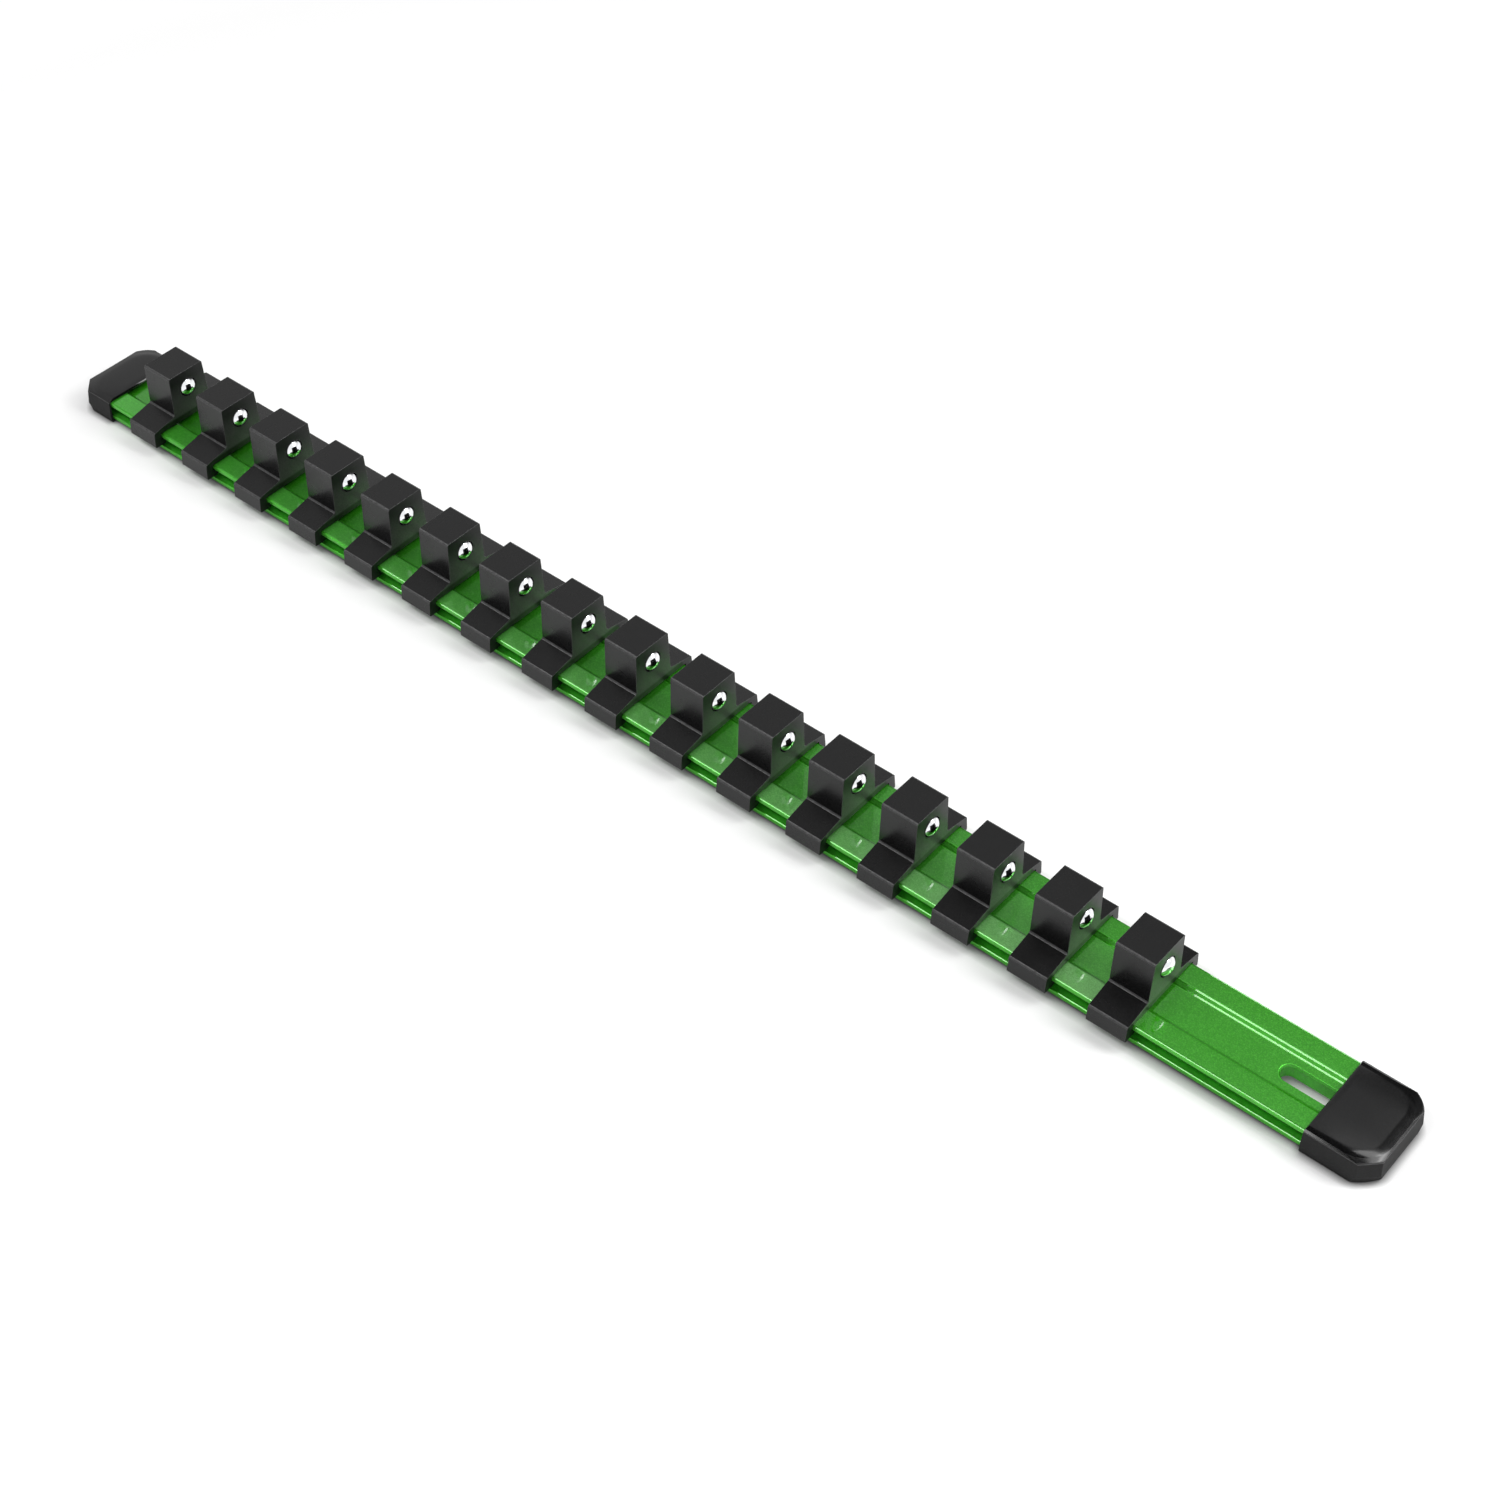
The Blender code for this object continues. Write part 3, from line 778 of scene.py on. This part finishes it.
clip = {
    "count": 16, "firstX": -191.7, "pitch": 23.0, "length": 11.1, "topZ": 23.06, "topHalf": 6.25,
    "foldZ": 10.1, "foldHalf": 6.8, "wingZ": 8.36, "wingHalf": 15.05, "flareHalf": 15.55, "wingLow": 3.3,
    "hookTip": 11.2, "hookLead": 0.6, "hookTop": 5.2, "wall": 12.8, "saddle": 7.2,
    "topRound": 0.55, "foldRound": 0.45, "wingRound": 0.45, "skirtRound": 0.5, "hookRound": 0.15,
    "wallRound": 0.2, "endRound": 0.42, "wingEndRound": 0.26, "wingEndBelow": 9.2,
}
ball = {
    "x": 3.775, "z": 17.13, "radius": 3.175, "boreRadius": 3.445, "boreFloor": -4.35, "boreOverrun": 0.5,
    "mouthSteps": 6, "lipRound": 0.12, "lipSlack": 0.02,
}


def makeClip():
    top, fold = (clip["topHalf"], clip["topZ"]), (clip["foldHalf"], clip["foldZ"])
    wing, skirt = (clip["wingHalf"], clip["wingZ"]), (clip["flareHalf"], clip["wingLow"])
    lead = (clip["hookTip"] + clip["hookLead"], clip["wingLow"])
    tip, hook = (clip["hookTip"], clip["wingLow"] + clip["hookLead"]), (clip["hookTip"], clip["hookTop"])
    wall, saddle = (clip["wall"], clip["hookTop"]), (clip["wall"], clip["saddle"])
    half = [top, fold, wing, skirt, lead, tip, hook, wall, saddle]
    piece = drawSection("clip_master", bothSides(half), -clip["length"] / 2)
    for corners, size, segments in (
            ([top], "topRound", 5), ([fold], "foldRound", 4), ([wing], "wingRound", 4),
            ([skirt], "skirtRound", 4), ([lead, tip, hook], "hookRound", 2),
            ([wall, saddle], "wallRound", 2)):
        roundCorners(piece, corners + [(-y, z) for y, z in corners], clip[size], segments)
    pullAlong(clip["length"])
    inner = clip["wall"] * mm + near
    under = clip["saddle"] * mm + near

    def isOutside(vert):
        return vert.co.z > under or abs(vert.co.y) > inner

    def isEndEdge(edge):
        a, b = edge.verts
        sameEnd = abs(a.co.x - b.co.x) < near
        return sameEnd and isOutside(a) and isOutside(b)

    def isWingEnd(edge):
        return isEndEdge(edge) and all(vert.co.z < clip["wingEndBelow"] * mm for vert in edge.verts)

    print("post end edges:", pickEdges(piece, lambda edge: isEndEdge(edge) and not isWingEnd(edge)))
    bpy.ops.transform.edge_bevelweight(value=1)
    print("wing end edges:", pickEdges(piece, isWingEnd))
    bpy.ops.transform.edge_bevelweight(value=clip["wingEndRound"] / clip["endRound"])
    workOn(piece)
    rounds = piece.modifiers.new("rounds", "BEVEL")
    rounds.limit_method = "WEIGHT"
    rounds.width = clip["endRound"] * mm
    rounds.segments = 4
    bpy.ops.object.modifier_apply(modifier=rounds.name)
    cutAway(piece, makeBoreCutter())
    editing(piece)
    face = clip["length"] / 2 * mm
    rimRadius = sqrt(ball["boreRadius"] ** 2 - (clip["length"] / 2 - ball["x"]) ** 2) * mm

    def isLip(edge):
        for vert in edge.verts:
            away = sqrt(vert.co.y ** 2 + (vert.co.z - ball["z"] * mm) ** 2)
            if abs(vert.co.x - face) > near or abs(away - rimRadius) > ball["lipSlack"] * mm:
                return False
        return True

    print("bore lip edges:", pickEdges(piece, isLip))
    bpy.ops.mesh.bevel(offset=ball["lipRound"] * mm, segments=3, affect="EDGES")
    # Every rounded edge gets the painted edge highlight, partly also wear
    smoothOff(piece, lambda spot, isRound: 1.0 if isRound else 0.0)
    return piece


# The bore that holds ball and spring: a profile turned about the ball's line of travel
def makeBoreCutter():
    face = clip["length"] / 2
    reach = ball["boreRadius"]
    profile = [(ball["boreFloor"], 0), (ball["boreFloor"], reach), (ball["x"], reach)]
    steps = ball["mouthSteps"]
    for step in range(1, steps + 1):
        along = ball["x"] + (face - ball["x"]) * step / steps
        profile.append((along, sqrt(reach ** 2 - (along - ball["x"]) ** 2)))
    outside = face + ball["boreOverrun"]
    profile += [(outside, profile[-1][1]), (outside, 0)]
    points = [(x * mm, 0, (ball["z"] + r) * mm) for x, r in profile]
    cutter = startPiece("bore_cutter", points[0])
    drawOn(points)
    bpy.ops.mesh.select_all(action="SELECT")
    bpy.ops.mesh.spin(steps=40, angle=2 * pi, center=(0, 0, ball["z"] * mm), axis=(1, 0, 0))
    bpy.ops.mesh.select_all(action="SELECT")
    bpy.ops.mesh.remove_doubles(threshold=near)
    bpy.ops.mesh.normals_make_consistent(inside=False)
    leaveEditing()
    return cutter


# A half ring swept round into a ball, its poles hidden in the bore
def makeBall():
    centre = (ball["x"] * mm, 0, ball["z"] * mm)
    piece = startPiece("ball_master", (centre[0], 0, centre[2] + ball["radius"] * mm))
    bpy.ops.mesh.select_all(action="SELECT")
    bpy.ops.mesh.spin(steps=28, angle=pi, center=centre, axis=(0, 1, 0))
    bpy.ops.mesh.select_all(action="SELECT")
    bpy.ops.mesh.spin(steps=48, angle=2 * pi, center=centre, axis=(0, 0, 1))
    bpy.ops.mesh.select_all(action="SELECT")
    bpy.ops.mesh.remove_doubles(threshold=near)
    bpy.ops.mesh.normals_make_consistent(inside=False)
    leaveEditing()
    workOn(piece)
    bpy.ops.object.shade_smooth()
    return piece


# The spring behind the ball. "keep" gives the share it is shortened to when pressed in; nothing here reads
# it
coil = {"wireRadius": 0.30, "radius": 2.0, "curls": 3, "from": -3.75, "to": 0.609, "keep": 0.715}


def makeCoil():
    leaveEditing()
    bpy.ops.mesh.primitive_circle_add(vertices=10, radius=coil["wireRadius"] * mm,
                                      rotation=(pi / 2, 0, 0))
    piece = bpy.context.object
    piece.name = "coil_master"
    bpy.ops.object.transform_apply(location=True, rotation=True, scale=True)
    editing(piece)
    bpy.ops.mesh.select_all(action="SELECT")
    bpy.ops.transform.translate(value=(coil["from"] * mm, 0, coil["radius"] * mm))
    workOn(piece)
    winding = piece.modifiers.new("winding", "SCREW")
    winding.axis = "X"
    winding.iterations = coil["curls"]
    winding.screw_offset = (coil["to"] - coil["from"]) / coil["curls"] * mm
    winding.steps = winding.render_steps = 24
    bpy.ops.object.modifier_apply(modifier=winding.name)
    editing(piece)
    middle = (coil["from"] + coil["to"]) / 2 * mm
    for way in (1, -1):
        pickEdges(piece, lambda edge: edge.is_boundary and (edge.verts[0].co.x - middle) * way > 0)
        bpy.ops.mesh.edge_face_add()
    bpy.ops.mesh.select_all(action="SELECT")
    bpy.ops.mesh.normals_make_consistent(inside=False)
    bpy.ops.transform.translate(value=(0, 0, ball["z"] * mm))
    workOn(piece)
    bpy.ops.object.shade_smooth_by_angle(angle=radians(50))
    return piece


clipMaster = makeClip()
ballMaster = makeBall()
coilMaster = makeCoil()
for index in range(clip["count"]):
    number = "%02d" % (index + 1)
    alongX = clip["firstX"] + clip["pitch"] * index
    post = copyAlong(clipMaster, "clip_moulding_" + number, alongX)
    fit(post, clipSkin, "clip_%s_body" % number, "clip_" + number)
    bead = copyAlong(ballMaster, "detent_ball_" + number, alongX)
    fit(bead, ballSkin, "ball_%s_body" % number, "ball_" + number)
    spring = copyAlong(coilMaster, "detent_spring_" + number, alongX)
    fit(spring, wireSkin, "clip_%s_body" % number, "spring_" + number)
    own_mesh(spring)
bpy.data.objects.remove(clipMaster)
bpy.data.objects.remove(ballMaster)
bpy.data.objects.remove(coilMaster)
print("clips, balls and springs made")


# Floor, light and camera

studio = {
    "floorSize": 8, "floorColour": (0.80, 0.80, 0.80), "floorLift": 0.21, "farFrom": 0.40, "farTo": 1.10,
    # How far the shadow reaches under the clips and at the ends, in millimetres, and in metres along
    # the rail where the first stops and the second starts
    "clipReach": 3.4, "contactReach": 2.1, "clipsTo": 0.175, "endsFrom": 0.200, "contactDepth": 1.60,
    "roomLight": 0.35, "ceiling": (0.84, 0.975), "ceilingTone": 0.02,
    "backFrom": 0.10, "backTo": 0.45, "backTone": 0.75,
    "riseFrom": 0.75, "riseTo": 0.85, "riseLow": 0.50, "riseHigh": 1.95,
    "lowBackTone": 0.15, "endGapTone": 0.25,
    "camera": (0.3296, -0.3476, 0.47361), "lens": 60.576, "sensorWidth": 36, "clip": (0.01, 50),
    "cameraTurn": (
        (0.76344, -0.45760, 0.45580), (0.64583, 0.54877, -0.53080), (-0.00724, 0.69961, 0.71449)),
}
# Parts of the room, as bands of direction: axis, where each begins to show and where it shows in full
roomPatches = {
    # The back wall is darkest low down
    "lowBack": [("Z", 0.72, 0.52), ("Z", 0.14, 0.28), ("Y", 0.05, 0.30),
                ("X", 0.45, 0.20), ("X", -0.38, -0.24)],
    # A dark gap between the back wall and the back softbox
    "endGap": [("X", -0.06, 0.03), ("X", 0.40, 0.30), ("Y", 0.42, 0.50),
               ("Z", 0.90, 0.86), ("Z", 0.62, 0.70)],
    # Straight behind the slot end, where the wall grows lighter upwards
    "behind": [("X", -0.40, -0.22), ("X", 0.20, 0.05), ("Y", 0.20, 0.30)],
}
# Direction from the object, distance in metres, length along the rail and width in metres, power in watts
softLights = {
    "back_softbox": ((0.6145, 0.4147, 0.6724), 1.149, (0.72, 0.45), 8.3),
    "front_softbox": ((-0.35, -0.42, 0.84), 1.2, (0.85, 0.22), 5.8),
    "corner_card": ((0.242, 0.309, 0.920), 1.345, (0.46, 0.29), 2.2),
}
white, black = (1, 1, 1), (0, 0, 0)


# Whether a ray shows the floor or room itself, not just its light, and whether it is the camera's own
def seenDirectly(tree):
    rays = addNode(tree, "ShaderNodeLightPath").outputs
    eyes = calculate(tree, "MAXIMUM", rays["Is Camera Ray"], rays["Is Glossy Ray"])
    return calculate(tree, "MAXIMUM", eyes, rays["Is Transmission Ray"]), rays["Is Camera Ray"]


def makeFloor():
    leaveEditing()
    bpy.ops.mesh.primitive_plane_add(size=studio["floorSize"], location=(0, 0, 0))
    floor = bpy.context.object
    floor.name = "studio_floor"
    material = bpy.data.materials.new("studio_floor_paint")
    material.use_nodes = True
    tree = material.node_tree
    tree.nodes.clear()
    place = objectPlace(tree)
    aside = calculate(tree, "ABSOLUTE", splitPlace(tree, place)["X"])
    reach = spreadValue(tree, aside, studio["clipReach"] * mm, studio["contactReach"] * mm,
                        studio["clipsTo"], studio["endsFrom"])
    contact = addNode(tree, "ShaderNodeAmbientOcclusion", samples=16, Distance=reach)
    openness = calculate(tree, "POWER", contact.outputs["AO"], studio["contactDepth"])
    floorColour = mixColours(tree, openness, black, studio["floorColour"])
    paint = addNode(tree, "ShaderNodeBsdfDiffuse", Color=floorColour)
    away = addNode(tree, "ShaderNodeVectorMath", operation="LENGTH")
    feed(tree, place, away.inputs[0])
    lift = spreadValue(tree, away.outputs["Value"], studio["floorLift"], 1.0,
                       studio["farFrom"], studio["farTo"])
    seen = seenDirectly(tree)[0]
    strength = calculate(tree, "MULTIPLY", calculate(tree, "MULTIPLY", seen, lift), openness)
    glow = addNode(tree, "ShaderNodeEmission", Color=white, Strength=strength)
    both = addNode(tree, "ShaderNodeAddShader")
    feed(tree, paint.outputs[0], both.inputs[0])
    feed(tree, glow.outputs[0], both.inputs[1])
    addNode(tree, "ShaderNodeOutputMaterial", Surface=both.outputs[0])
    floor.data.materials.append(material)


def makeRoom():
    room = bpy.data.worlds.new("studio_room")
    bpy.context.scene.world = room
    room.use_nodes = True
    tree = room.node_tree
    tree.nodes.clear()
    parts = splitPlace(tree, addNode(tree, "ShaderNodeTexCoord").outputs["Generated"])

    def patch(name):
        shares = [spreadValue(tree, parts[axis], start=start, stop=stop, curve="SMOOTHSTEP")
                  for axis, start, stop in roomPatches[name]]
        whole = shares[0]
        for share in shares[1:]:
            whole = calculate(tree, "MULTIPLY", whole, share)
        return whole

    ceilingFrom, ceilingTo = studio["ceiling"]
    tone = spreadValue(tree, parts["Z"], 1.0, studio["ceilingTone"], ceilingFrom, ceilingTo, "SMOOTHSTEP")
    rise = spreadValue(tree, parts["Z"], studio["riseLow"], studio["riseHigh"],
                       studio["riseFrom"], studio["riseTo"])
    risen = addNode(tree, "ShaderNodeMix", Factor=patch("behind"), A=1.0, B=rise)
    # The back wall is a little darker than the side that the balls face
    for factor in (
            spreadValue(tree, parts["X"], studio["backTone"], 1.0, studio["backFrom"], studio["backTo"]),
            spreadValue(tree, patch("lowBack"), 1.0, studio["lowBackTone"]),
            spreadValue(tree, patch("endGap"), 1.0, studio["endGapTone"]),
            risen.outputs["Result"]):
        tone = calculate(tree, "MULTIPLY", tone, factor)
    seen, byCamera = seenDirectly(tree)
    light = addNode(tree, "ShaderNodeBackground", Color=white, Strength=studio["roomLight"])
    shown = calculate(tree, "MAXIMUM", tone, byCamera)
    backdrop = addNode(tree, "ShaderNodeBackground", Color=white, Strength=shown)
    choose = addNode(tree, "ShaderNodeMixShader")
    for value, target in zip((seen, light.outputs[0], backdrop.outputs[0]), choose.inputs):
        feed(tree, value, target)
    addNode(tree, "ShaderNodeOutputWorld", Surface=choose.outputs[0])


def makeLights():
    for name, (direction, distance, size, power) in softLights.items():
        lamp = bpy.data.lights.new(name, "AREA")
        lamp.shape = "RECTANGLE"
        lamp.size, lamp.size_y = size
        lamp.energy = power
        holder = bpy.data.objects.new(name, lamp)
        bpy.context.collection.objects.link(holder)
        away = Vector(direction).normalized()
        across = (Vector((1, 0, 0)) - away * away.x).normalized()
        turn = Matrix((across, away.cross(across), away)).transposed()
        holder.matrix_world = Matrix.Translation(away * distance) @ turn.to_4x4()


def makeCamera():
    eye = bpy.data.cameras.new("photo_camera")
    eye.lens = studio["lens"]
    eye.sensor_width = studio["sensorWidth"]
    eye.sensor_fit = "HORIZONTAL"
    eye.clip_start, eye.clip_end = studio["clip"]
    holder = bpy.data.objects.new("photo_camera", eye)
    bpy.context.collection.objects.link(holder)
    holder.matrix_world = Matrix.Translation(studio["camera"]) @ Matrix(studio["cameraTurn"]).to_4x4()
    bpy.context.scene.camera = holder



makeFloor()
makeRoom()
makeLights()
makeCamera()
bpy.context.scene.view_settings.view_transform = "Standard"
print("studio made")
